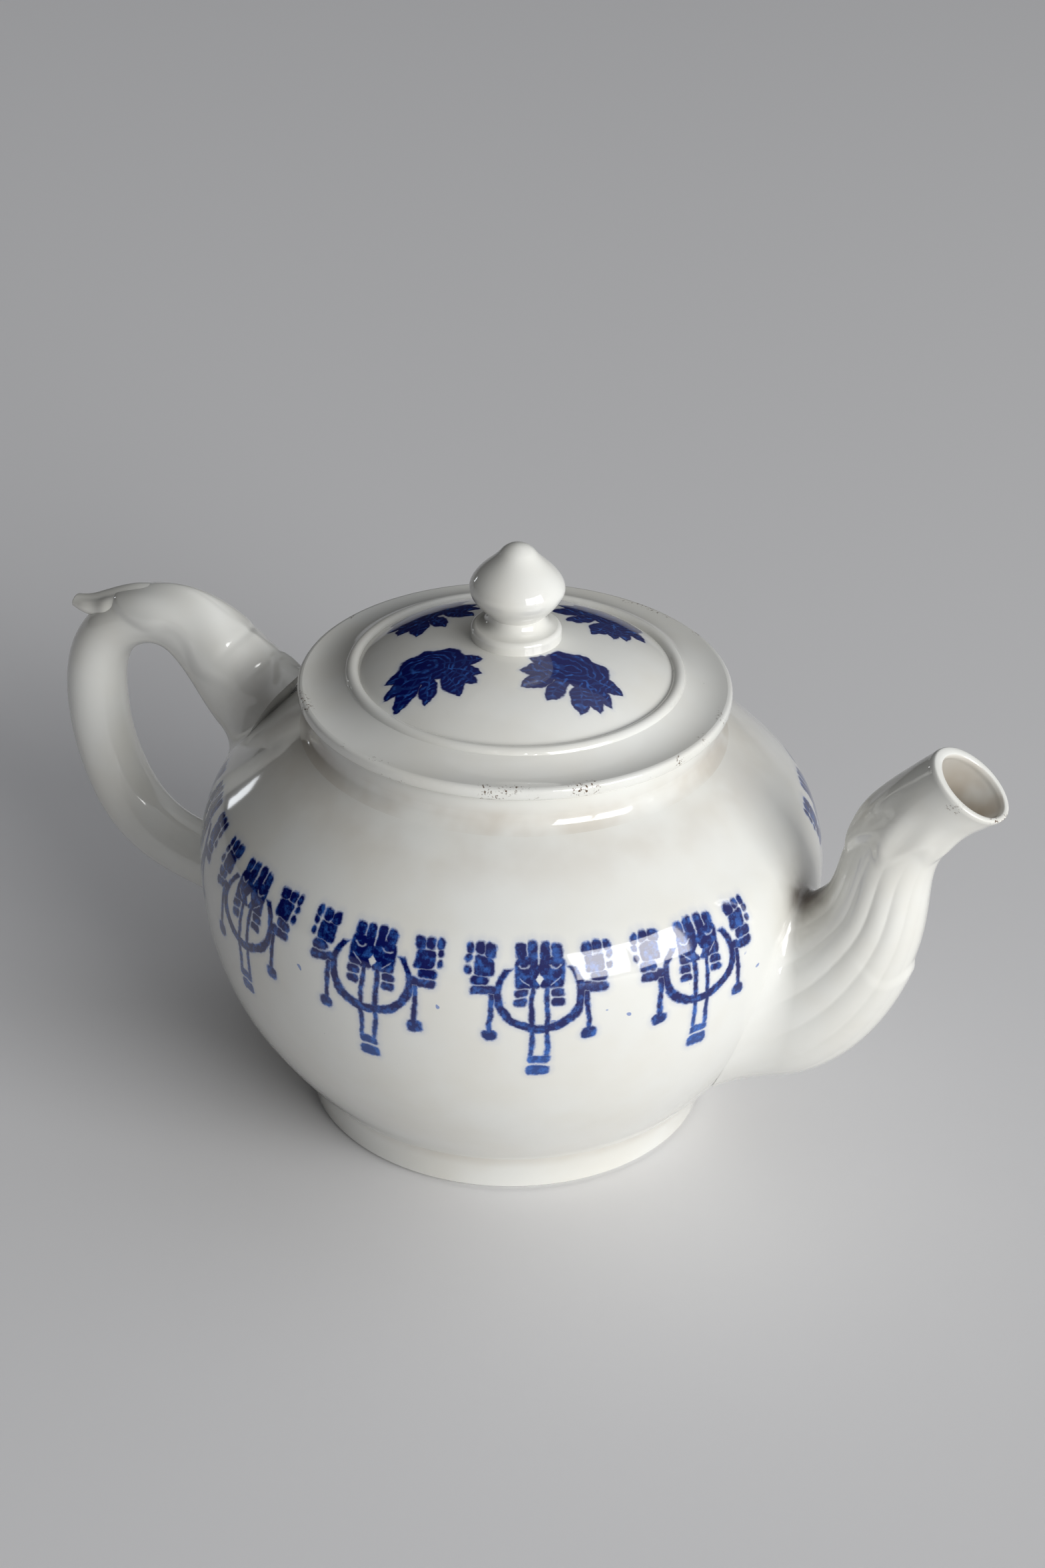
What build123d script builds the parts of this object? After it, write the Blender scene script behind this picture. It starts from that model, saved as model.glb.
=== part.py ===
"""A one litre porcelain teapot: a round-bellied pot with a spout and a loop handle, and a
loose lid that lifts off. Millimetres, +Z up. The origin is the centre of the foot, on the
table; the spout points along +X and the handle along -X.

A pottery makes this pot from separate pieces and lutes them together before firing, and each
of those pieces is one sub-part here. Luted pieces meet face to face.
"""
import os
from math import cos, hypot, radians, sin

from build123d import *

os.makedirs("parts", exist_ok=True)

# --- Driving dimensions -------------------------------------------------------------------
foot_r = 48.0          # outside of the foot ring, on the table
foot_top_r = 51.6      # outside of the foot ring, at the crease under the belly
foot_inner_r = 43.5
foot_h = 12.0
floor_z = 7.0          # underside of the pot, up inside the foot ring
floor_t = 5.0
wall = 4.0             # belly wall
collar_r = 47.2        # upright neck that the lid sits on
collar_inner_r = 43.0
collar_z0 = 98.0       # where the shoulder stops and the neck starts
collar_z1 = 106.7
lid_gap = 0.3          # between the neck's rim and the lid
lid_r = 50.0
lid_rim_t = 3.0
lid_wall = 3.6
bead_r = 37.6          # raised ring round the lid's dome
dome_top_z = 121.4
flange_r = 42.2        # locating ring under the lid, a loose fit in the neck
flange_wall = 3.2
flange_z0 = 96.5
knob_base_r = 10.4
knob_neck_r = 6.4
knob_r = 10.9
knob_top_z = 144.6
knob_tip_r, knob_tip_h = 4.2, 2.2   # the round cap that ends the knob
vent_r = 1.4           # steam hole in the lid, behind the knob
spout_wall = 2.6
lip_wall = 2.0
strainer_r = 2.2       # holes in the belly wall behind the spout
strainer_pitch = 7.0

# Outside of the belly, from the crease over the foot up to the neck: (radius, height)
belly = [
    (52.2, foot_h), (58.3, 20), (65.9, 32), (71.0, 45), (73.4, 60),
    (73.1, 70), (69.5, 80), (63.0, 87.2), (56.0, 93.6), (49.6, collar_z0),
]

# Spout stations from inside the belly out to the mouth:
# (x, z, pitch of the section's normal in degrees, half depth in the XZ plane, half width)
spout_stations = [
    (50.0, 41.0, 14, 20.0, 14.0),
    (69.0, 46.5, 24, 21.2, 14.8),
    (78.5, 53.0, 37, 18.3, 13.4),
    (85.8, 63.3, 55, 15.0, 11.8),
    (90.4, 74.5, 76, 11.9, 10.3),
    (91.9, 84.0, 86, 10.7, 9.4),
    (94.3, 93.3, 77, 10.3, 9.0),
    (98.2, 99.6, 66, 9.9, 8.8),
    (103.0, 105.6, 58, 9.9, 9.0),
    (109.1, 111.1, 55, 10.7, 9.8),
]

# Handle stations from the shoulder, over the top and back to the belly:
# (x, z, half thickness in the XZ plane, half width across)
handle_stations = [
    (-57.0, 81.0, 13.0, 10.5),
    (-69.5, 89.5, 12.6, 9.6),
    (-76.0, 95.6, 11.2, 8.8),
    (-82.0, 100.6, 9.7, 8.1),
    (-87.8, 103.6, 8.5, 7.6),
    (-94.0, 104.2, 7.4, 7.3),
    (-100.5, 102.4, 6.8, 7.2),
    (-107.8, 97.4, 6.8, 7.2),
    (-112.6, 89.0, 7.2, 7.3),
    (-113.8, 79.0, 7.5, 7.4),
    (-112.8, 68.5, 7.6, 7.4),
    (-109.4, 57.5, 7.8, 7.4),
    (-103.6, 48.0, 8.0, 7.4),
    (-96.0, 42.2, 7.9, 7.4),
    (-87.0, 39.2, 7.8, 7.6),
    (-76.0, 37.4, 8.2, 8.2),
    (-60.0, 36.4, 9.0, 9.0),
]

# Spur that the thumb rests on, from inside the handle's top corner to its tip: (x, z, radius)
spur_stations = [(-101.0, 103.6, 6.0), (-108.0, 102.6, 5.0), (-114.0, 101.6, 3.4), (-118.6, 101.0, 1.6)]


def inset(points, thickness):
    """The same outline moved inwards, square to itself, by the wall's thickness."""
    moved = []
    for i, (r, z) in enumerate(points):
        r0, z0 = points[max(i - 1, 0)]
        r1, z1 = points[min(i + 1, len(points) - 1)]
        run = hypot(r1 - r0, z1 - z0)
        moved.append((r - thickness * (z1 - z0) / run, z + thickness * (r1 - r0) / run))
    return moved


def section_plane(x, z, pitch):
    """A plane square to a direction in the XZ plane; its own X is that section's depth."""
    tilt = radians(pitch)
    return Plane(origin=(x, 0, z), x_dir=(-sin(tilt), 0, cos(tilt)), z_dir=(cos(tilt), 0, sin(tilt)))


# --- Helper solids, used only to trim the pieces that are luted on ---------------------------
with BuildPart() as belly_fill:
    with BuildSketch(Plane.YZ):
        with BuildLine():
            Spline(*belly)
            Polyline(belly[-1], (0, collar_z0), (0, foot_h), belly[0])
        make_face()
    revolve(axis=Axis.Z)

# --- Pot body: belly wall, floor and strainer holes ------------------------------------------
inner_wall = inset(belly, wall)[2:-1]
with BuildPart() as pot_body:
    with BuildSketch(Plane.YZ):
        with BuildLine():
            Spline(*belly)
            Polyline(belly[-1], (collar_inner_r, collar_z0), (collar_inner_r, collar_z0 - 2.5))
            Line((collar_inner_r, collar_z0 - 2.5), inner_wall[-1])
            Spline(*reversed(inner_wall))
            Spline(inner_wall[0], (52.5, 20.0), (43.0, floor_z + floor_t + 1.2), (33.0, floor_z + floor_t))
            Polyline((33.0, floor_z + floor_t), (0, floor_z + floor_t), (0, floor_z), (38.0, floor_z))
            Line((38.0, floor_z), (foot_inner_r, foot_h))
            Line((foot_inner_r, foot_h), belly[0])
        make_face()
    revolve(axis=Axis.Z)
    with BuildSketch(Plane.YZ.offset(50)):
        with Locations((0, 50.0)):
            with HexLocations(strainer_pitch / 2, 3, 4):
                Circle(strainer_r)
    extrude(amount=35, mode=Mode.SUBTRACT)

# --- Foot ring ------------------------------------------------------------------------------
with BuildPart() as foot_ring:
    with BuildSketch(Plane.YZ):
        with BuildLine():
            Polyline((foot_inner_r, foot_h), (foot_top_r, foot_h))
            Spline((foot_top_r, foot_h), (49.2, 6.0), (foot_r, 1.0))
            Polyline((foot_r, 1.0), (foot_r - 1.0, 0), (foot_r - 3.4, 0), (foot_inner_r, 1.4))
            Line((foot_inner_r, 1.4), (foot_inner_r, foot_h))
        make_face()
    revolve(axis=Axis.Z)

# --- Neck collar ----------------------------------------------------------------------------
with BuildPart() as neck_collar:
    with BuildSketch(Plane.YZ):
        with BuildLine():
            Line((collar_inner_r, collar_z0), belly[-1])
            Spline(belly[-1], (47.9, 99.6), (collar_r, 102.2), tangents=[(-0.8, 0.5), (0, 1)])
            Line((collar_r, 102.2), (collar_r, collar_z1 - 1.2))
            RadiusArc((collar_r, collar_z1 - 1.2), (collar_r - 1.2, collar_z1), -1.2)
            Line((collar_r - 1.2, collar_z1), (collar_inner_r + 1.0, collar_z1))
            RadiusArc((collar_inner_r + 1.0, collar_z1), (collar_inner_r, collar_z1 - 1.0), -1.0)
            Line((collar_inner_r, collar_z1 - 1.0), (collar_inner_r, collar_z0))
        make_face()
    revolve(axis=Axis.Z)

# --- Spout ----------------------------------------------------------------------------------
with BuildPart() as spout:
    for x, z, pitch, depth, width in spout_stations:
        with BuildSketch(section_plane(x, z, pitch)):
            Ellipse(depth, width)
    loft()
    add(belly_fill.part, mode=Mode.SUBTRACT)
    for i, (x, z, pitch, depth, width) in enumerate(spout_stations):
        skin = spout_wall + (lip_wall - spout_wall) * i / (len(spout_stations) - 1)
        with BuildSketch(section_plane(x, z, pitch)):
            Ellipse(depth - skin, width - skin)
    loft(mode=Mode.SUBTRACT)

# --- Handle ---------------------------------------------------------------------------------
with BuildPart() as handle:
    with BuildLine():
        arch = Spline(*[(x, 0, z) for x, z, thick, width in handle_stations])
    for x, z, thick, width in handle_stations:
        along = arch % arch.param_at_point((x, 0, z))
        with BuildSketch(Plane(origin=(x, 0, z), x_dir=(0, 1, 0), z_dir=along)):
            Ellipse(width, thick)
    loft()
    add(belly_fill.part, mode=Mode.SUBTRACT)

# --- Thumb rest -----------------------------------------------------------------------------
with BuildPart() as thumb_rest:
    for x, z, radius in spur_stations:
        with BuildSketch(Plane(origin=(x, 0, z), x_dir=(0, 1, 0), z_dir=(-1, 0, -0.12))):
            Ellipse(radius, radius * 0.8)
    loft()
    add(handle.part, mode=Mode.SUBTRACT)

# --- Lid cover ------------------------------------------------------------------------------
lid_z0 = collar_z1 + lid_gap
dome = [(bead_r - 1.6, 112.7), (31.0, 115.7), (21.0, 119.3), (knob_base_r + 1.0, 121.2), (knob_base_r, dome_top_z)]
with BuildPart() as lid_cover:
    with BuildSketch(Plane.YZ):
        with BuildLine():
            Polyline((flange_r - flange_wall, lid_z0), (lid_r - 1.3, lid_z0))
            Spline(
                (lid_r - 1.3, lid_z0), (lid_r, lid_z0 + lid_rim_t / 2), (lid_r - 1.2, lid_z0 + lid_rim_t),
                tangents=[(1, 0), (-0.9, 0.1)],
            )
            Spline((lid_r - 1.2, lid_z0 + lid_rim_t), (44.0, 110.3), (bead_r + 1.5, 112.3))
            ThreePointArc((bead_r + 1.5, 112.3), (bead_r, 113.6), dome[0])
            Spline(*dome)
            Polyline(dome[-1], (0, dome_top_z), (0, dome_top_z - lid_wall))
            Spline(
                (0, dome_top_z - lid_wall), (15.0, dome_top_z - lid_wall - 0.9), (30.0, 112.2), (36.5, 108.9),
                (flange_r - flange_wall, lid_z0), tangents=[(1, 0), (0.6, -0.8)],
            )
        make_face()
    revolve(axis=Axis.Z)
    with Locations((-13.0 * cos(radians(40)), 13.0 * sin(radians(40)), dome_top_z)):
        Cylinder(vent_r, 20, mode=Mode.SUBTRACT)

# --- Lid flange -----------------------------------------------------------------------------
with BuildPart() as lid_flange:
    with BuildSketch(Plane.YZ):
        with Locations((flange_r - flange_wall / 2, (flange_z0 + lid_z0) / 2)):
            Rectangle(flange_wall, lid_z0 - flange_z0)
        fillet(vertices().group_by(Axis.Y)[0], 1.2)
    revolve(axis=Axis.Z)

# --- Lid knob: an onion-shaped finial on a flared base -----------------------------------------
with BuildPart() as lid_knob:
    with BuildSketch(Plane.YZ):
        with BuildLine():
            Polyline((0, knob_top_z), (0, dome_top_z), (knob_base_r, dome_top_z), (knob_base_r, 123.2))
            RadiusArc((knob_base_r, 123.2), (knob_base_r - 1.2, 124.4), -1.2)
            Spline((knob_base_r - 1.2, 124.4), (knob_neck_r + 0.7, 125.4), (knob_neck_r, 127.2))
            Spline((knob_neck_r, 127.2), (9.4, 130.4), (knob_r, 133.8), (9.6, 136.8), (6.3, 140.2),
                   (knob_tip_r, knob_top_z - knob_tip_h))
            cap_r = (knob_tip_r ** 2 + knob_tip_h ** 2) / (2 * knob_tip_h)
            RadiusArc((knob_tip_r, knob_top_z - knob_tip_h), (0, knob_top_z), -cap_r)
        make_face()
    revolve(axis=Axis.Z)

# --- Export ---------------------------------------------------------------------------------
pieces = {
    "pot_body": pot_body, "foot_ring": foot_ring, "neck_collar": neck_collar, "spout": spout,
    "handle": handle, "thumb_rest": thumb_rest,
    "lid_cover": lid_cover, "lid_flange": lid_flange, "lid_knob": lid_knob,
}
for label, piece in pieces.items():
    piece.part.label = label
    export_step(piece.part, f"parts/{label}.step")
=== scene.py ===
"""Looks of the porcelain teapot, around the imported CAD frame. Metres, +Z up, spout along +X.

Shapes, stains and prints are written in millimetres, and MM turns them into metres. The floor,
the lights and the camera are in metres.
"""
from math import cos, pi, radians, sin

import bpy
import numpy as np
from mathutils import Matrix, Vector


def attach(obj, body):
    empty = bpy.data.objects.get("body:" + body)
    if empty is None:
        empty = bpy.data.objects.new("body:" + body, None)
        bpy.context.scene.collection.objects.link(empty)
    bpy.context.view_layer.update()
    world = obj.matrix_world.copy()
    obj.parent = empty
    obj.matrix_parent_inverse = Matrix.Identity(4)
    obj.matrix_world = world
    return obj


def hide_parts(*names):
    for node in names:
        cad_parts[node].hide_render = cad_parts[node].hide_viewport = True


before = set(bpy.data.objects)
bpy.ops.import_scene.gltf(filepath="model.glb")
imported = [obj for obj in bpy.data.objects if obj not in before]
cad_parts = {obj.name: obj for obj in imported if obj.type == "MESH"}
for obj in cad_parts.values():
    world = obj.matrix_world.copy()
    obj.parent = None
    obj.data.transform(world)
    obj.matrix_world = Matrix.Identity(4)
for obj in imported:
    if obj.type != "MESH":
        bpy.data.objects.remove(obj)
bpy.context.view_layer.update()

MM = 0.001
POT_AZIMUTH = radians(24.4)      # the camera stands this far round from -Y towards +X

# --- Shape data, in mm. The belly, spout and handle follow the CAD model's lines --------------
# radius, height
BELLY = [(52.2, 12), (58.3, 20), (65.9, 32), (71.0, 45), (73.4, 60), (73.1, 70), (69.5, 80),
         (63.0, 87.2), (56.0, 93.6), (49.6, 98.0)]

# x, z, pitch of the section's normal in degrees, half depth, half width
SPOUT = [(50.0, 41.0, 14, 20.0, 14.0), (69.0, 46.5, 24, 21.2, 14.8), (78.5, 53.0, 37, 18.3, 13.4),
         (85.8, 63.3, 55, 15.0, 11.8), (90.4, 74.5, 76, 11.9, 10.3), (91.9, 84.0, 86, 10.7, 9.4),
         (94.3, 93.3, 77, 10.3, 9.0), (98.2, 99.6, 66, 9.9, 8.8), (103.0, 105.6, 58, 9.9, 9.0),
         (109.1, 111.1, 55, 10.7, 9.8)]
SPOUT_WALL = 2.6
LIP_WALL = 2.8                   # thicker than the CAD's, for the rounded rim
MOUTH_PITCH = radians(55)        # the way the spout points at its mouth, up from level
MOUTH_DIRECTION = (cos(MOUTH_PITCH), 0.0, sin(MOUTH_PITCH))

# x, z, half thickness in the XZ plane, half width across
HANDLE = [(-57.0, 81.0, 13.0, 10.5), (-69.5, 89.5, 12.6, 9.6), (-76.0, 95.6, 11.2, 8.8),
          (-82.0, 100.6, 9.7, 8.1), (-87.8, 103.6, 8.5, 7.6), (-94.0, 104.2, 7.4, 7.3),
          (-100.5, 102.4, 6.8, 7.2), (-107.8, 97.4, 6.8, 7.2), (-112.6, 89.0, 7.2, 7.3),
          (-113.8, 79.0, 7.5, 7.4), (-112.8, 68.5, 7.6, 7.4), (-109.4, 57.5, 7.8, 7.4),
          (-103.6, 48.0, 8.0, 7.4), (-96.0, 42.2, 7.9, 7.4), (-87.0, 39.2, 7.8, 7.6),
          (-76.0, 37.4, 8.2, 8.2), (-60.0, 36.4, 9.0, 9.0)]

# Leaf tongue on the handle's top corner, finer than the CAD's thumb rest: the same columns
TONGUE = [(-83.0, 104.4, 3.0, 3.0), (-92.0, 107.8, 3.9, 3.8), (-100.0, 106.9, 4.0, 4.6),
          (-107.5, 104.3, 3.4, 4.7), (-113.5, 102.7, 2.5, 3.8), (-118.3, 102.6, 1.5, 2.3)]


# --- Numbers --------------------------------------------------------------------------------
def natural_spline(knots, values, at):
    """The cubic spline through values at knots, evaluated at the parameters in at."""
    knots, values = np.asarray(knots, float), np.asarray(values, float)
    n, h = len(knots), np.diff(knots)
    slope = np.diff(values, axis=0) / h[:, None]
    system, right = np.eye(n), np.zeros_like(values)
    for i in range(1, n - 1):
        system[i, i - 1:i + 2] = h[i - 1], 2 * (h[i - 1] + h[i]), h[i]
        right[i] = 6 * (slope[i] - slope[i - 1])
    bend = np.linalg.solve(system, right)
    k = np.clip(np.searchsorted(knots, at) - 1, 0, n - 2)
    a, b, hk = knots[k + 1] - at, at - knots[k], h[k]
    a, b, hk = a[..., None], b[..., None], hk[..., None]
    cubic = (bend[k] * a ** 3 + bend[k + 1] * b ** 3) / (6 * hk)
    before = (values[k] / hk - bend[k] * hk / 6) * a
    after = (values[k + 1] / hk - bend[k + 1] * hk / 6) * b
    return cubic + before + after


def smooth(value, low, high):
    """0 below low, 1 above high, and a smooth step between."""
    t = np.clip((value - low) / (high - low), 0, 1)
    return t * t * (3 - 2 * t)


def bump(value, centre, width):
    """A bell of height 1 round the centre."""
    return np.exp(-((value - centre) / width) ** 2)


belly_z = np.linspace(BELLY[0][1], BELLY[-1][1], 400)
belly_r = natural_spline([z for r, z in BELLY], [[r] for r, z in BELLY], belly_z)[:, 0]
belly_slope = np.gradient(belly_r, belly_z)


def above_belly(points):
    """Height of points over the belly's outside, and the belly's normal there."""
    x, y, z = points[..., 0], points[..., 1], points[..., 2]
    r = np.hypot(x, y)
    lean = np.interp(z, belly_z, belly_slope)
    scale = 1 / np.sqrt(1 + lean ** 2)
    normal = np.stack([x / r * scale, y / r * scale, -lean * scale], -1)
    return (r - np.interp(z, belly_z, belly_r)) * scale, normal


# --- Meshes ---------------------------------------------------------------------------------
def add_mesh(name, vertices, faces):
    mesh = bpy.data.meshes.new(name)
    mesh.from_pydata([tuple(p) for p in np.asarray(vertices) * MM], [], faces)
    mesh.validate()
    mesh.shade_smooth()
    piece = bpy.data.objects.new(name, mesh)
    bpy.context.scene.collection.objects.link(piece)
    return piece


def ring_faces(rows, columns, wrap=False):
    """Quads between consecutive rings of points; wrap also joins the last ring to the first."""
    faces = []
    for i in range(rows if wrap else rows - 1):
        low, high = i * columns, (i + 1) % rows * columns
        for j in range(columns):
            k = (j + 1) % columns
            faces.append((low + j, low + k, high + k, high + j))
    return faces


def add_capped(name, rings, tip=(0.0, 0.0, 0.0)):
    """A mesh through rings of points, closed at each end by a fan; tip moves the last fan's hub."""
    rows, columns = rings.shape[:2]
    hubs = [rings[0].mean(0), rings[-1].mean(0) + np.array(tip)]
    faces = ring_faces(rows, columns)
    first, last, last_ring = rows * columns, rows * columns + 1, (rows - 1) * columns
    for j in range(columns):
        k = (j + 1) % columns
        faces.append((first, k, j))
        faces.append((last, last_ring + j, last_ring + k))
    return add_mesh(name, np.concatenate([rings.reshape(-1, 3), hubs]), faces)


class Tube:
    """Elliptic sections along a line in the XZ plane, with height added to the surface."""

    def __init__(self, stations, pitches=None):
        self.data = np.array(stations, float)
        steps = np.hypot(*np.diff(self.data[:, :2], axis=0).T)
        self.knots = np.concatenate([[0], np.cumsum(steps)])
        self.length = self.knots[-1]
        self.pitches = pitches

    def centres(self, along):
        """Points of the line itself."""
        row = natural_spline(self.knots, self.data[:, :2], along)
        return np.stack([row[..., 0], np.zeros_like(row[..., 0]), row[..., 1]], -1)

    def points(self, along, around, relief=0.0, skin=0.0):
        """Points at arrays of distance along the line and angle around it. Angle 0 is the side
        that lies to the left of the line's direction, seen from -Y."""
        along = np.broadcast_to(along, np.broadcast(along, around).shape)
        row = natural_spline(self.knots, self.data, along)
        if self.pitches is None:
            ahead = natural_spline(self.knots, self.data[:, :2], along + 0.5)
            behind = natural_spline(self.knots, self.data[:, :2], along - 0.5)
            pitch = np.arctan2(ahead[..., 1] - behind[..., 1], ahead[..., 0] - behind[..., 0])
        else:
            pitches = np.array(self.pitches)[:, None]
            pitch = np.radians(natural_spline(self.knots, pitches, along)[..., 0])
        depth = (row[..., 2] - skin + relief) * np.cos(around)
        width = (row[..., 3] - skin + relief) * np.sin(around)
        across = np.stack([-np.sin(pitch) * depth, -width, np.cos(pitch) * depth], -1)
        return self.centres(along) + across

    def start_on_belly(self, around, low, high, height, skin=0.0):
        """Distance along the line where each side line is at this height over the belly, found
        by halving between low and high."""
        low, high = np.full_like(around, low), np.full_like(around, high)
        rising = above_belly(self.points(high, around, skin=skin))[0] > \
            above_belly(self.points(low, around, skin=skin))[0]
        for _ in range(30):
            middle = (low + high) / 2
            over = above_belly(self.points(middle, around, skin=skin))[0] > height
            move_high = over == rising
            high = np.where(move_high, middle, high)
            low = np.where(move_high, low, middle)
        return (low + high) / 2


FOOT_SINK = 0.08        # mm that a luted-on piece's spread foot lies under the belly's outside


def flare(points, centres, radius):
    """Spreads the foot of a luted-on piece over the belly, as a fillet of this radius does."""
    height, normal = above_belly(points)
    out = points - centres
    out -= normal * (out * normal).sum(-1, keepdims=True)
    out /= np.linalg.norm(out, axis=-1, keepdims=True) + 1e-9
    near = np.clip(radius - height - FOOT_SINK, 0, radius)
    spread = radius - np.sqrt(np.clip(radius ** 2 - near ** 2, 0, None))
    spread_out = points + out * spread[..., None]
    risen, normal = above_belly(spread_out)          # the belly curves away from that straight step
    return spread_out - normal * (risen - height)[..., None]


# --- Spout ----------------------------------------------------------------------------------
spout = Tube([(x, z, depth, width) for x, z, pitch, depth, width in SPOUT],
             [pitch for x, z, pitch, depth, width in SPOUT])


def spout_relief(along, turn):
    """Moulded flutes on the sides, a lobed leaf hanging from the lip and one rising at the foot.
    Heights in mm."""
    t = along / spout.length
    side = np.sin(turn) ** 2                 # 1 on the spout's two sides
    back = 0.5 + 0.5 * np.cos(turn)          # 1 towards the pot, 0 on the pouring side
    wave = turn + 0.10 * np.sin(6 * t)
    flutes = np.abs(np.sin(8 * wave)) ** 0.9 - 0.6
    flutes = 0.40 * flutes * (0.15 + 0.85 * side)
    flutes = flutes * smooth(t, 0.08, 0.32) * smooth(-t, -0.80, -0.58)
    edge = 0.740 + 0.025 * np.cos(6 * turn) + 0.05 * (1 - back)
    leaf = (0.30 + 0.80 * back) * smooth(t, edge - 0.015, edge + 0.050 - 0.025 * back)
    leaf = leaf * smooth(-t, -0.96, -0.80)
    veins = 0.22 * np.cos(9 * turn + 9 * t)
    veins = veins * smooth(t, edge, edge + 0.06) * smooth(-t, -0.95, -0.82)
    foot_edge = 0.470 + 0.015 * np.cos(4 * turn)
    foot_leaf = 0.75 * smooth(-t, -foot_edge - 0.022, -foot_edge) * (1 - back) ** 5
    roll = -0.20 * smooth(t, 0.94, 0.99)
    return flutes + leaf + veins + foot_leaf + roll


def build_spout():
    columns = 256
    around = np.linspace(0, 2 * pi, columns, endpoint=False)
    fillet = 9.0 - 6.5 * (0.5 + 0.5 * np.cos(around)) ** 1.2      # tighter in the crotch
    search = (4.0, 60.0)
    end = spout.length - 1.0
    start = spout.start_on_belly(around, *search, -FOOT_SINK)
    steps = np.linspace(0, 1, 260)[:, None] ** 2                  # closer rows at the foot
    along = start + (end - start) * steps
    turn = np.broadcast_to(around, along.shape)
    outer = spout.points(along, turn, relief=spout_relief(along, turn))
    outer = flare(outer, spout.centres(along), np.broadcast_to(fillet, along.shape))
    # rounded lip, from the outside over to the bore
    thinner = 0.6 * (1 - np.cos(around))                          # less lip on the pouring side
    thick = LIP_WALL - thinner
    lip = []
    for angle in np.linspace(0, pi, 17)[1:-1]:
        reach = min(end + 1.45 * sin(angle), spout.length)
        ring = spout.points(reach, around, relief=-0.15 - thick / 2 * (1 - cos(angle)))
        lip.append(ring + np.array(MOUTH_DIRECTION) * 0.55 * sin(angle))
    inner_start = spout.start_on_belly(around, *search, -1.3, skin=SPOUT_WALL)
    along = inner_start + (end - inner_start) * np.linspace(1, 0, 110)[:, None]
    t = along / spout.length
    skin = SPOUT_WALL + (LIP_WALL + 0.05 - SPOUT_WALL) * t - thinner * smooth(t, 0.80, 0.98)
    inner = spout.points(along, np.broadcast_to(around, along.shape), skin=skin)
    rings = np.concatenate([outer, np.array(lip), inner])
    faces = ring_faces(len(rings), columns, wrap=True)
    piece = add_mesh("spout_glazed", rings.reshape(-1, 3), faces)
    # the bore has its own material, from a little inside the lip down
    material = np.zeros(len(piece.data.polygons), np.int32)
    material[(len(outer) + len(lip) - 4) * columns:(len(rings) - 1) * columns] = 1
    piece.data.polygons.foreach_set("material_index", material)
    return piece


# --- Handle ---------------------------------------------------------------------------------
handle = Tube(HANDLE)


def handle_relief(along, turn):
    """A moulded leaf lies over the top arm, with a lobed edge; the rest is a plain round.
    Heights in mm."""
    t = along / handle.length
    top = np.cos(turn)                       # 1 on the outside of the loop, -1 inside it
    lobes = 0.22 * np.cos(8 * 2 * pi * t + 0.6)
    edge = 0.05 + lobes + 1.3 * smooth(t, 0.26, 0.40)
    root_end = 0.085 + 0.022 * np.cos(4 * turn)
    leaf = smooth(top, edge - 0.25, edge + 0.25) * smooth(t, root_end - 0.018, root_end + 0.018)
    rib = bump(np.sin(turn), 0, 0.22) * (top > 0)
    notches = -0.35 * (bump(t, 0.115, 0.006) + bump(t, 0.165, 0.006)) * smooth(top, 0.3, 0.9)
    veins = 0.22 * np.cos(8 * 2 * pi * t + 5.0 * np.abs(np.sin(turn)))
    return leaf * (0.70 + 0.30 * rib + 1.3 * veins) + notches


def build_handle():
    rows, columns, fillet = 440, 192, 5.5
    turn = np.linspace(0, 2 * pi, columns, endpoint=False)
    start = handle.start_on_belly(turn, 0.0, 40.0, -FOOT_SINK)
    end = handle.start_on_belly(turn, handle.length - 45.0, handle.length, -FOOT_SINK)
    steps = 0.5 - 0.5 * np.cos(np.linspace(0, pi, rows)[:, None])    # closer rows at both ends
    along = start + (end - start) * steps
    angle = np.broadcast_to(turn, along.shape)
    # half a turn on, since the side to the left of the line is the inside of the loop
    points = handle.points(along, angle + pi, relief=handle_relief(along, angle))
    return add_capped("handle_glazed", flare(points, handle.centres(along), fillet))


def build_tongue():
    """Leaf that curls off the handle's top corner: a midrib, a furrow each side, lobed edges."""
    tongue = Tube(TONGUE)
    rows, columns = 120, 96
    t = np.linspace(0, 1, rows)[:, None]
    angle = np.broadcast_to(np.linspace(0, 2 * pi, columns, endpoint=False), (rows, columns))
    side = np.abs(np.sin(angle))
    above = np.cos(angle) < 0
    lobes = 0.35 * side ** 3 * np.cos(2 * pi * 4.2 * t + 0.4) * smooth(t, 0.10, 0.30)
    midrib_and_furrows = 0.35 * bump(side, 0, 0.22) - 0.45 * bump(side, 0.5, 0.2)
    relief = lobes + above * midrib_and_furrows * smooth(t, 0.25, 0.5)
    relief = relief * np.minimum(1, 4 * (1 - t))                     # none at the tip
    points = tongue.points(tongue.length * t, angle, relief=relief)
    return add_capped("thumb_leaf", points, tip=(-0.9, 0.0, 0.1))


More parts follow.
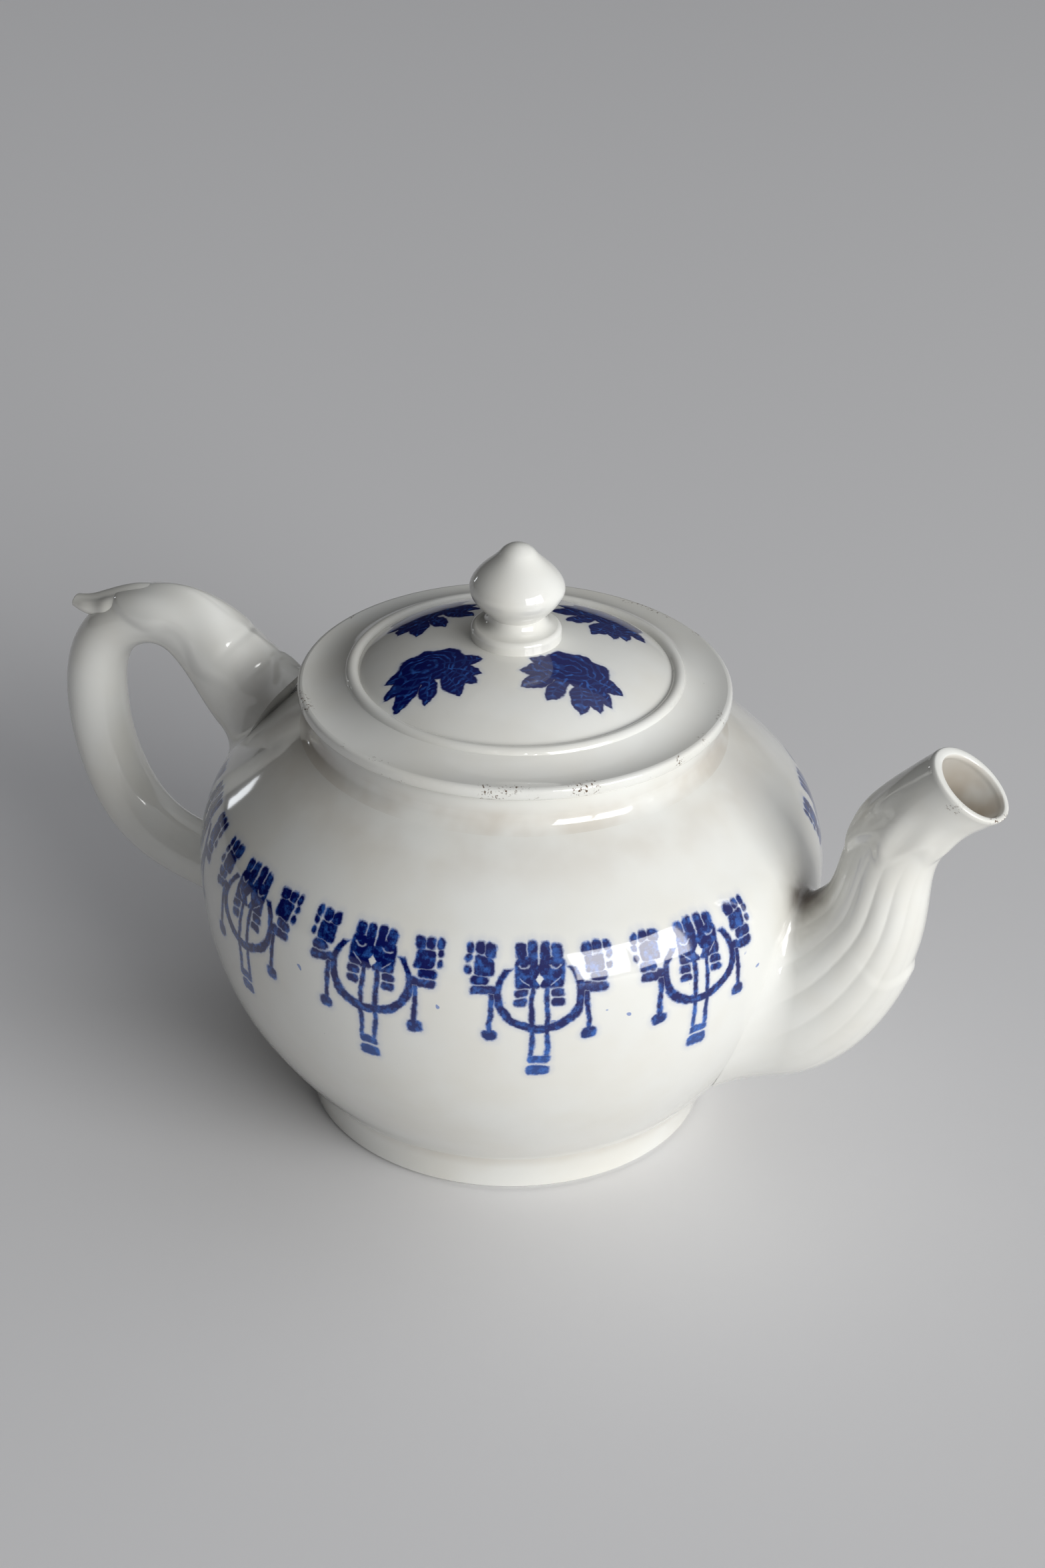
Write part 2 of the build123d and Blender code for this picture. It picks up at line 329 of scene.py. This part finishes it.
# --- Shader nodes ---------------------------------------------------------------------------
class Net:
    """Short calls that add shader nodes and link them. Values may be numbers or sockets."""

    def __init__(self, tree):
        self.tree = tree

    def feed(self, socket, value):
        """Links a socket's value, or sets a plain one; None leaves the socket alone."""
        if isinstance(value, bpy.types.NodeSocket):
            self.tree.links.new(value, socket)
        elif value is not None:
            socket.default_value = value

    def math(self, operation, a, b=None, c=None, clamp=False):
        node = self.tree.nodes.new("ShaderNodeMath")
        node.operation, node.use_clamp = operation, clamp
        for socket, value in zip(node.inputs, (a, b, c)):
            self.feed(socket, value)
        return node.outputs[0]

    def vector(self, operation, a, b=None, scale=None):
        node = self.tree.nodes.new("ShaderNodeVectorMath")
        node.operation = operation
        self.feed(node.inputs[0], a)
        self.feed(node.inputs[1], b)
        if scale is not None:
            self.feed(node.inputs["Scale"], scale)
        gives_number = operation in ("DOT_PRODUCT", "LENGTH", "DISTANCE")
        return node.outputs["Value" if gives_number else "Vector"]

    def xyz(self, x, y, z=0.0):
        node = self.tree.nodes.new("ShaderNodeCombineXYZ")
        for socket, value in zip(node.inputs, (x, y, z)):
            self.feed(socket, value)
        return node.outputs[0]

    def split(self, vector):
        node = self.tree.nodes.new("ShaderNodeSeparateXYZ")
        self.feed(node.inputs[0], vector)
        return node.outputs

    def millimetres(self, place):
        """A place in metres, in millimetres."""
        return self.vector("SCALE", place, scale=1 / MM)

    def height(self, place):
        """Height over the table in mm, with the lid down."""
        return self.math("MULTIPLY", self.split(place)[2], 1 / MM)

    def minus(self, a, b):
        return self.math("SUBTRACT", a, b)

    def times(self, a, b):
        return self.math("MULTIPLY", a, b)

    def size(self, value):
        return self.math("ABSOLUTE", value)

    def shake(self, place, scale, detail, roughness):
        """A vector within half a unit of nothing, from coloured noise."""
        colour = self.noise(place, scale, detail, roughness, "Color")
        return self.vector("SUBTRACT", colour, (0.5, 0.5, 0.5))

    def noise(self, vector, scale, detail=2.0, roughness=0.5, output="Fac"):
        node = self.tree.nodes.new("ShaderNodeTexNoise")
        self.feed(node.inputs["Vector"], vector)
        self.feed(node.inputs["Scale"], scale)
        self.feed(node.inputs["Detail"], detail)
        self.feed(node.inputs["Roughness"], roughness)
        return node.outputs[output]

    def ramp(self, value, low, high, out_low=0.0, out_high=1.0):
        node = self.tree.nodes.new("ShaderNodeMapRange")
        node.interpolation_type = "SMOOTHSTEP"
        for key, item in (("Value", value), ("From Min", low), ("From Max", high),
                          ("To Min", out_low), ("To Max", out_high)):
            self.feed(node.inputs[key], item)
        return node.outputs[0]

    def colour(self, factor, a, b):
        """Colour a turned to colour b by the factor."""
        node = self.tree.nodes.new("ShaderNodeMix")
        node.data_type = "RGBA"
        self.feed(node.inputs[0], factor)
        self.feed(node.inputs[6], a)
        self.feed(node.inputs[7], b)
        return node.outputs[2]

    def lowest(self, values):
        total = values[0]
        for value in values[1:]:
            total = self.math("MINIMUM", total, value)
        return total


def block(net, point, centre, half, corner):
    """Distance to a rounded block, less its corner radius: under 0 inside. Millimetres."""
    away = net.vector("ABSOLUTE", net.vector("SUBTRACT", point, (*centre, 0.0)))
    away = net.vector("SUBTRACT", away, (half[0] - corner, half[1] - corner, 0.0))
    away = net.vector("LENGTH", net.vector("MAXIMUM", away, (0.0, 0.0, 0.0)))
    return net.minus(away, corner)


PRINTS_PER_TURN = 12
PRINT_RADIUS = 72.5                     # mm, of the belly under the prints
RING_Z, RING_RADIUS, RING_HALF_HEIGHT = 72.2, 9.3, 8.2

PRINT_BLOCKS = [  # centre (out from the middle line, height), half size, corner radius, all in mm
    # the hanging panel: top row, body, feet
    ((1.5, 80.8), (1.1, 1.45), 0.7), ((4.2, 80.8), (1.1, 1.25), 0.7),
    ((2.7, 76.6), (2.75, 3.1), 0.8), ((4.2, 72.4), (1.4, 0.75), 0.6),
    ((4.1, 70.3), (1.4, 0.8), 0.7),
    # rods under it and their end blocks
    ((1.65, 65.2), (0.42, 8.8), 0.3), ((0.0, 55.4), (2.2, 0.95), 0.6),
    ((0.0, 52.2), (2.2, 1.35), 0.9),
    # side tassel: top row, body, small outer beads, two flat beads, tie to the ring
    ((15.5, 81.0), (0.75, 0.9), 0.7), ((13.2, 81.1), (1.05, 1.0), 0.8),
    ((10.8, 80.9), (1.2, 1.1), 0.8), ((12.2, 78.0), (2.1, 1.75), 0.7),
    ((15.7, 79.3), (0.65, 0.65), 0.6), ((15.7, 77.3), (0.65, 0.65), 0.6),
    ((13.2, 75.1), (2.0, 0.9), 0.8), ((13.1, 72.9), (2.2, 0.85), 0.8),
    ((10.2, 73.2), (1.2, 0.8), 0.6),
    # side rod and its weight
    ((10.6, 67.6), (0.48, 4.6), 0.3), ((10.7, 61.9), (1.55, 1.35), 1.0),
]


def print_ring(net, point, z):
    """Distance to the ring: thicker below, open where the panel crosses it."""
    from_ring = net.vector("SUBTRACT", point, (0.0, RING_Z, 0.0))
    from_ring = net.vector("MULTIPLY", from_ring, (1.0, RING_RADIUS / RING_HALF_HEIGHT, 1.0))
    off_line = net.size(net.minus(net.vector("LENGTH", from_ring), RING_RADIUS))
    ring = net.minus(off_line, net.ramp(z, 62.0, 78.0, 1.05, 0.55))
    return net.math("MAXIMUM", ring, net.minus(z, 77.6))


def print_gaps(net, point, z):
    """Distance to the light gaps in the panel: a lozenge, a crescent and a notch each side."""
    out = net.split(point)[0]
    lozenge = net.math("ADD", net.times(out, 1.35), net.size(net.minus(z, 75.4)))
    lozenge = net.minus(lozenge, 1.55)
    crescent = net.vector("LENGTH", net.vector("SUBTRACT", point, (3.5, 78.9, 0.0)))
    crescent = net.minus(net.size(net.minus(crescent, 1.3)), 0.26)
    crescent = net.math("MAXIMUM", crescent, net.minus(z, 78.4))
    notch = net.size(net.math("MULTIPLY_ADD", out, 0.75, net.minus(72.2, z)))
    too_far = net.minus(net.size(net.minus(out, 3.6)), 1.1)
    notch = net.math("MAXIMUM", net.minus(notch, 0.24), too_far)
    return net.lowest([lozenge, crescent, notch, block(net, point, (0.0, 79.6), (0.32, 1.2), 0.3)])


def print_places(net, place, x, y, turn):
    """1 where the belly may carry ink: its outside, away from the spout and the handle."""
    away = net.size(turn)
    here = net.times(net.math("GREATER_THAN", away, radians(15)),
                     net.math("LESS_THAN", away, radians(165)))
    # this curve lies 2 mm under the outside, and the wall's inside 2 mm further in
    from_widest = net.minus(net.height(place), 63.0)
    under = net.math("MULTIPLY_ADD", net.times(from_widest, from_widest), -0.0135, 71.5)
    return net.times(here, net.math("GREATER_THAN", net.vector("LENGTH", net.xyz(x, y)), under))


def belly_print(net, place):
    """The band of ring-and-tassel prints, evenly spaced except under the spout and the handle.
    Returns how much ink there is and how pale its wash is."""
    x, y, z = net.split(net.millimetres(place))
    turn = net.math("ARCTAN2", y, x)
    cell = net.math("MULTIPLY_ADD", turn, PRINTS_PER_TURN / (2 * pi), 0.5)
    from_middle = net.times(net.minus(net.math("FRACT", cell), 0.5),
                            2 * pi / PRINTS_PER_TURN * PRINT_RADIUS)
    wobble = net.vector("ADD", net.vector("SCALE", net.shake(place, 900.0, 3.0, 0.6), scale=0.8),
                        net.vector("SCALE", net.shake(place, 160.0, 1.0, 0.5), scale=1.5))
    wobble_aside, wobble_up, _ = net.split(wobble)
    z = net.math("ADD", z, wobble_up)
    point = net.xyz(net.size(net.math("ADD", from_middle, wobble_aside)), z)
    ink = net.lowest([block(net, point, *item) for item in PRINT_BLOCKS]
                     + [print_ring(net, point, z)])
    ink = net.math("MAXIMUM", ink, net.times(print_gaps(net, point, z), -1.0))
    amount = net.math("MAXIMUM", net.ramp(ink, 0.66, -0.12), net.ramp(ink, 1.9, 0.1, 0.0, 0.13))
    # stray specks of ink near mid height
    speck = net.ramp(net.noise(place, 420.0, 0.0), 0.775, 0.80)
    speck = net.times(speck, net.ramp(net.size(net.minus(z, 67.0)), 4.0, 2.0))
    amount = net.math("MAXIMUM", amount, net.times(speck, 0.7))
    amount = net.times(amount, print_places(net, place, x, y, turn))
    # paler in blots, towards the bottom and at the strokes' edges
    blots = net.noise(place, 520.0, 3.0, 0.65)
    wash = net.math("ADD", net.ramp(blots, 0.44, 0.70, 0.0, 0.70),
                    net.ramp(z, 66.0, 54.0, 0.0, 0.36))
    wash = net.math("ADD", wash, net.ramp(ink, -0.10, 0.45, 0.0, 0.9), clamp=True)
    return amount, wash


LEAVES = [  # a sprig's leaves: root (mm), direction in degrees, length, half width
    ((-3.5, 0.0), 156, 9.5, 2.4), ((-3.0, -1.5), 180, 8.5, 2.2), ((3.0, -1.5), 8, 9.5, 2.4),
    ((3.0, 0.5), 30, 9.5, 2.2), ((-3.5, 1.5), 130, 10.5, 2.5), ((-1.0, 2.5), 104, 9.0, 2.2),
    ((2.5, 2.0), 74, 10.0, 2.6), ((3.5, 1.0), 52, 9.5, 2.2),
]
# The four sprigs, one in each quarter of the lid: front left, front right, back right, back left
SPRIG_ACROSS = (-18.6, 13.0, 20.6, -20.5)        # mm from the middle, to the right
SPRIG_NEAR = (13.0, 15.0, -15.5, -16.0)          # mm from the middle, to the front
SPRIG_TURN = [radians(degrees) for degrees in (-10, 16, 40, -38)]


def sprig_leaf(net, point, root, heading, length, half):
    """Distance to a pointed leaf, and to its midrib."""
    ahead = (cos(radians(heading)), sin(radians(heading)), 0.0)
    aside = (-ahead[1], ahead[0], 0.0)
    from_root = net.vector("SUBTRACT", point, (*root, 0.0))
    t = net.math("MULTIPLY_ADD", net.vector("DOT_PRODUCT", from_root, ahead), 2 / length, -0.85)
    off_rib = net.size(net.vector("DOT_PRODUCT", from_root, aside))
    shape = net.math("ADD", off_rib, net.math("MULTIPLY_ADD", net.times(t, t), half, -half))
    return shape, net.math("MAXIMUM", net.minus(off_rib, 0.10), net.math("ADD", shape, 0.25))


def lid_print(net, place):
    """Four leaf sprigs on the lid's dome, each set down at its own angle."""
    flat = net.vector("MULTIPLY", net.millimetres(place), (1.0, 1.0, 0.0))
    wobble = net.vector("SCALE", net.shake(place, 420.0, 2.0, 0.5), scale=1.8)
    flat = net.vector("ADD", flat, wobble)
    across = net.vector("DOT_PRODUCT", flat, (cos(POT_AZIMUTH), sin(POT_AZIMUTH), 0.0))
    near = net.vector("DOT_PRODUCT", flat, (sin(POT_AZIMUTH), -cos(POT_AZIMUTH), 0.0))
    is_right = net.math("GREATER_THAN", across, 0.0)
    is_near = net.math("GREATER_THAN", near, 0.0)

    def choose(values):
        """The value for the quarter that the point is in."""
        front_left, front_right, back_right, back_left = values
        front = net.math("MULTIPLY_ADD", is_right, front_right - front_left, front_left)
        back = net.math("MULTIPLY_ADD", is_right, back_right - back_left, back_left)
        return net.math("MULTIPLY_ADD", net.minus(front, back), is_near, back)

    u = net.minus(across, choose(SPRIG_ACROSS))
    v = net.minus(near, choose(SPRIG_NEAR))
    cosine = choose([cos(turn) for turn in SPRIG_TURN])
    sine = choose([sin(turn) for turn in SPRIG_TURN])
    x = net.math("ADD", net.times(u, cosine), net.times(v, sine))
    y = net.minus(net.times(v, cosine), net.times(u, sine))
    point = net.xyz(x, y)
    leaves = [sprig_leaf(net, point, *leaf) for leaf in LEAVES]
    # the bloom in the middle, with a scalloped edge
    from_bloom = net.vector("SUBTRACT", point, (0.0, -2.0, 0.0))
    bloom = net.vector("LENGTH", net.vector("MULTIPLY", from_bloom, (0.72, 1.0, 1.0)))
    petals = net.math("SINE", net.times(net.math("ARCTAN2", net.math("ADD", y, 2.0), x), 7.0))
    bloom_shape = net.minus(bloom, net.math("MULTIPLY_ADD", petals, 0.35, 6.0))
    ink = net.lowest([shape for shape, rib in leaves] + [bloom_shape])
    amount = net.math("MAXIMUM", net.ramp(ink, 0.36, -0.26), net.ramp(ink, 1.6, 0.1, 0.0, 0.10))
    # veins: fine curved strokes through the bloom and a midrib in each leaf
    stroke = net.math("MULTIPLY_ADD", bloom, 4.1, net.times(x, 1.3))
    stroke = net.math("ADD", stroke, net.times(net.noise(place, 230.0), 16.0))
    stroke = net.ramp(net.math("SINE", stroke), 0.15, 0.9, 0.0, 0.95)
    rib = net.ramp(net.lowest([rib for shape, rib in leaves]), 0.22, -0.05)
    wash = net.math("MAXIMUM", stroke, net.times(rib, 0.95))
    wash = net.times(wash, net.ramp(ink, -0.25, -0.9))
    blots = net.ramp(net.noise(place, 600.0, 2.0), 0.45, 0.7)
    blotted = net.math("MULTIPLY_ADD", blots, 0.62, 0.16)
    wash = net.math("MULTIPLY", wash, blotted, clamp=True)
    return amount, net.math("MAXIMUM", wash, net.ramp(ink, -0.20, 0.25, 0.0, 0.9))


GLAZE = (0.745, 0.745, 0.710, 1.0)
GLAZE_WARM = (0.720, 0.708, 0.655, 1.0)
INK = (0.0004, 0.0035, 0.088, 1.0)
INK_WASH = (0.030, 0.130, 0.470, 1.0)
# dark brown for stain, and for painted shade and shadow where the spout and the handle meet the
# belly
STAIN_AND_SHADE = (0.060, 0.036, 0.020, 1.0)
# tan: for the bands at the neck, foot and flange, and for painted shade inside the spout's bore
TAN = (0.42, 0.34, 0.25, 1.0)
SPECK = (0.045, 0.035, 0.028, 1.0)
BARE_EDGE = (0.11, 0.065, 0.035, 1.0)


def glaze(name, decoration=None, stains_and_shade=(), tan=None, worn=None, speck_share=0.5):
    """Clear gloss glaze over a warm white body. decoration: function giving ink and wash;
    stains: (centre mm, radius mm, strength) of brown staining and of painted shade;
    tan: function giving where the colour turns tan, which inside the spout's bore is painted shade;
    worn: the same for bare, speckled edges; speck_share: how common pinholes are."""
    material = bpy.data.materials.new(name)
    material.use_nodes = True
    tree = material.node_tree
    tree.nodes.clear()
    net = Net(tree)
    place = tree.nodes.new("ShaderNodeTexCoord").outputs["Object"]
    cloud = net.noise(place, 38.0, 3.0, 0.55)
    colour = net.colour(net.ramp(cloud, 0.35, 0.70), GLAZE, GLAZE_WARM)
    if tan is not None:
        patches = net.ramp(net.noise(place, 55.0, 3.0), 0.30, 0.62)
        colour = net.colour(net.times(tan(net, place), patches), colour, TAN)
    roughness = net.ramp(net.noise(place, 75.0, 2.0), 0.3, 0.7, 0.055, 0.095)
    if decoration is not None:
        amount, wash = decoration(net, place)
        colour = net.colour(amount, colour, net.colour(wash, INK, INK_WASH))
    # brown marks round given centres: real stain, and painted shade where the spout and the handle
    # meet the belly
    for centre, radius, strength in stains_and_shade:
        uneven = net.vector("SCALE", net.shake(place, 110.0, 3.0, 0.6), scale=6 * MM)
        uneven_place = net.vector("ADD", place, uneven)
        far = net.vector("DISTANCE", uneven_place, tuple(c * MM for c in centre))
        colour = net.colour(net.ramp(far, radius * MM, 0.0, 0.0, strength), colour, STAIN_AND_SHADE)
    # a few dark pinholes
    pits = tree.nodes.new("ShaderNodeTexVoronoi")
    net.feed(pits.inputs["Vector"], place)
    net.feed(pits.inputs["Scale"], 95.0)
    chance = net.split(pits.outputs["Color"])[0]
    pit_size = net.times(net.minus(chance, 1.0 - 0.30 * speck_share), 0.11)
    dots = net.ramp(net.minus(pits.outputs["Distance"], pit_size), 0.012, 0.0)
    colour = net.colour(net.times(dots, 0.75), colour, SPECK)
    if worn is not None:
        grit = net.ramp(net.noise(place, 1500.0, 2.0, 0.6), 0.56, 0.64)
        grit = net.times(grit, net.ramp(net.noise(place, 120.0, 1.0), 0.56, 0.64))
        grit = net.times(worn(net, place), grit)
        colour = net.colour(grit, colour, BARE_EDGE)
        roughness = net.math("MULTIPLY_ADD", grit, 0.4, roughness)
    wave = tree.nodes.new("ShaderNodeBump")
    net.feed(wave.inputs["Strength"], 0.05)
    net.feed(wave.inputs["Distance"], 0.001)
    net.feed(wave.inputs["Height"], net.noise(place, 95.0, 2.0, 0.5))
    shader = tree.nodes.new("ShaderNodeBsdfPrincipled")
    net.feed(shader.inputs["Base Color"], colour)
    net.feed(shader.inputs["Roughness"], roughness)
    net.feed(shader.inputs["Normal"], wave.outputs[0])
    shader.inputs["IOR"].default_value = 1.58
    shader.inputs["Coat Weight"].default_value = 0.35
    shader.inputs["Coat Roughness"].default_value = 0.03
    output = tree.nodes.new("ShaderNodeOutputMaterial")
    tree.links.new(shader.outputs[0], output.inputs[0])
    return material


def band(low, high, soft, share):
    """A mask of this strength between two heights in mm, with soft edges."""
    def mask(net, place):
        z = net.height(place)
        up = net.ramp(z, low - soft, low + soft)
        return net.times(net.times(up, net.ramp(z, high + soft, high - soft)), share)
    return mask


def spout_lip(net, place):
    """The lower part of the mouth's rim, where the glaze has worn through."""
    along = net.vector("DOT_PRODUCT", net.millimetres(place), MOUTH_DIRECTION)
    return net.times(net.ramp(along, 147.0, 151.5), net.ramp(net.height(place), 112.5, 108.5))


def lid_rim(net, place):
    """The outer edge of the lid's brim."""
    x, y, _ = net.split(net.millimetres(place))
    return net.ramp(net.vector("LENGTH", net.xyz(x, y)), 47.2, 48.8)


def spout_bore(net, place):
    """The spout's bore, turned tan as painted shade of the hollow, most of all along its lower
    side.
    """
    x, _, z = net.split(net.millimetres(place))
    return net.ramp(net.minus(net.times(x, 0.7), z), -45.0, -26.0, 0.25, 1.0)


# Stain and painted shade marks: centre (mm), radius (mm), strength
# Where the spout meets the belly: a brown stain with painted shadow in the crotch
CROTCH = [((78.0, 0.0, 70.0), 17.0, 0.40), ((76.5, 0.0, 72.0), 9.5, 1.0)]
# At the handle's upper roots, both sides: painted shade and dark reflection, with a little brown
# stain
HANDLE_ROOT = [((-63.0, -9.0, 93.0), 13.0, 0.38), ((-63.0, 9.0, 93.0), 13.0, 0.38)]
LEAF_SPOT = ((-99.5, -3.0, 108.5), 1.3, 0.7)
# The handle's marks: painted shade at its roots, and a real brown spot on the leaf
HANDLE_STAINS_AND_SHADE = [*HANDLE_ROOT, ((-66.0, 0.0, 84.0), 14.0, 0.35), LEAF_SPOT]

# The crotch marks on the belly and spout are painted shadow with stain; the handle-root marks are
# painted shade with a little stain
materials = {
    "pot_body": glaze("glaze_belly", belly_print, CROTCH + HANDLE_ROOT, band(91, 99, 4, 0.22)),
    "foot_ring": glaze("glaze_foot", tan=band(9, 13, 2, 0.22)),
    "neck_collar": glaze("glaze_neck", tan=band(97, 103, 2, 0.45)),
    "spout": glaze("glaze_spout", stains_and_shade=CROTCH, worn=spout_lip),
    "handle": glaze("glaze_handle", stains_and_shade=HANDLE_STAINS_AND_SHADE),
    "thumb_rest": glaze("glaze_thumb"),
    "lid_cover": glaze("glaze_lid", lid_print, worn=lid_rim, speck_share=0.8),
    "lid_flange": glaze("glaze_flange", tan=band(96, 107, 1, 0.35)),
    "lid_knob": glaze("glaze_knob"),
}

# --- Pieces ---------------------------------------------------------------------------------
for build, node in ((build_spout, "spout"), (build_handle, "handle"), (build_tongue, "thumb_rest")):
    piece = build()
    piece.data.materials.append(materials[node])
    if node == "spout":
        # the bore's glaze is turned tan as painted shade
        piece.data.materials.append(glaze("glaze_bore", tan=spout_bore))
    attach(piece, "pot")
    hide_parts(node)

for node in ("pot_body", "foot_ring", "neck_collar", "lid_cover", "lid_flange", "lid_knob"):
    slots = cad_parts[node].data.materials
    slots.clear()
    slots.append(materials[node])

# --- Floor ----------------------------------------------------------------------------------
FLOOR_REACH = 6
floor_corners = [(x * FLOOR_REACH, y * FLOOR_REACH, 0)
                 for x, y in ((-1, -1), (1, -1), (1, 1), (-1, 1))]
floor_mesh = bpy.data.meshes.new("floor")
floor_mesh.from_pydata(floor_corners, [], [(0, 1, 2, 3)])
floor = bpy.data.objects.new("floor", floor_mesh)
bpy.context.scene.collection.objects.link(floor)
floor_material = bpy.data.materials.new("pale_floor")
floor_material.use_nodes = True
floor_shader = floor_material.node_tree.nodes["Principled BSDF"]
floor_shader.inputs["Base Color"].default_value = (0.74, 0.735, 0.74, 1.0)
floor_shader.inputs["Roughness"].default_value = 0.75
floor_mesh.materials.append(floor_material)


# --- Light ----------------------------------------------------------------------------------
POT_MIDDLE = Vector((0, 0, 0.07))


def direction_to(azimuth, elevation):
    """Unit vector at angles in radians, azimuth from the camera's side towards its right."""
    turn = azimuth + POT_AZIMUTH
    return Vector((sin(turn) * cos(elevation), -cos(turn) * cos(elevation), sin(elevation)))


def panel(name, azimuth, elevation, distance, size, radiance, tint):
    """A soft box facing the pot. Angles in degrees, size as width and height in metres."""
    towards = direction_to(radians(azimuth), radians(elevation))
    light = bpy.data.lights.new(name, "AREA")
    light.shape, light.size, light.size_y = "RECTANGLE", *size
    light.energy = radiance * size[0] * size[1] * pi
    light.color = tint
    lamp = bpy.data.objects.new(name, light)
    lamp.location = POT_MIDDLE + towards * distance
    lamp.rotation_euler = towards.to_track_quat("Z", "Y").to_euler()
    lamp.visible_camera = False
    bpy.context.scene.collection.objects.link(lamp)


WINDOW_TINT, SKY_TINT = (1.0, 1.0, 0.99), (0.92, 0.96, 1.0)
# name, azimuth, elevation, distance, size, radiance, tint
panel("window_near", 32.0, 17.0, 3.0, (0.98, 1.60), 7.9, WINDOW_TINT)
panel("window_far", 54.0, 17.0, 3.0, (1.05, 1.60), 7.9, WINDOW_TINT)
panel("window_back_left", -134.0, 6.0, 1.8, (0.09, 0.20), 4.5, SKY_TINT)
panel("overhead", 150.0, 68.0, 1.9, (1.5, 1.1), 0.25, (0.97, 0.98, 1.0))

DARK_SIDE, LIT_SIDE = (0.014, 0.013, 0.012, 1.0), (0.50, 0.51, 0.53, 1.0)
world = bpy.data.worlds.new("studio")
bpy.context.scene.world = world
world.use_nodes = True
world_net = Net(world.node_tree)
view_way = world.node_tree.nodes.new("ShaderNodeTexCoord").outputs["Generated"]
to_lit_side = direction_to(radians(68), 0.0) + Vector((0, 0, 0.40))
facing = world_net.vector("DOT_PRODUCT", view_way, tuple(to_lit_side.normalized()))
sky = world_net.colour(world_net.ramp(facing, -0.40, 0.90), DARK_SIDE, LIT_SIDE)
background = world.node_tree.nodes["Background"]
world_net.feed(background.inputs["Color"], sky)
background.inputs["Strength"].default_value = 1.0

# --- Camera ---------------------------------------------------------------------------------
CAMERA_ELEVATION, CAMERA_ROLL = radians(30.58), radians(1.37)
CAMERA_DISTANCE = 0.7182
TARGET = Vector((0.00204, 0.00092, 0.0821))
FOCAL_IN_HEIGHTS = 1.955782           # focal length over the image's height
SENSOR_HEIGHT, SENSOR_WIDTH = 36.0, 24.0

back = direction_to(0.0, CAMERA_ELEVATION)
level = Vector((cos(POT_AZIMUTH), sin(POT_AZIMUTH), 0))
upright = back.cross(level)
image_right = level * cos(CAMERA_ROLL) + upright * sin(CAMERA_ROLL)
image_up = upright * cos(CAMERA_ROLL) - level * sin(CAMERA_ROLL)
lens = bpy.data.cameras.new("camera")
lens.sensor_fit, lens.sensor_height, lens.sensor_width = "VERTICAL", SENSOR_HEIGHT, SENSOR_WIDTH
lens.lens = FOCAL_IN_HEIGHTS * SENSOR_HEIGHT
lens.clip_start, lens.clip_end = 0.01, 50.0
lens.dof.use_dof = False
camera = bpy.data.objects.new("camera", lens)
camera.matrix_world = Matrix.Translation(TARGET + back * CAMERA_DISTANCE) @ \
    Matrix((image_right, image_up, back)).transposed().to_4x4()
bpy.context.scene.collection.objects.link(camera)
bpy.context.scene.camera = camera
bpy.context.scene.view_settings.view_transform = "Standard"
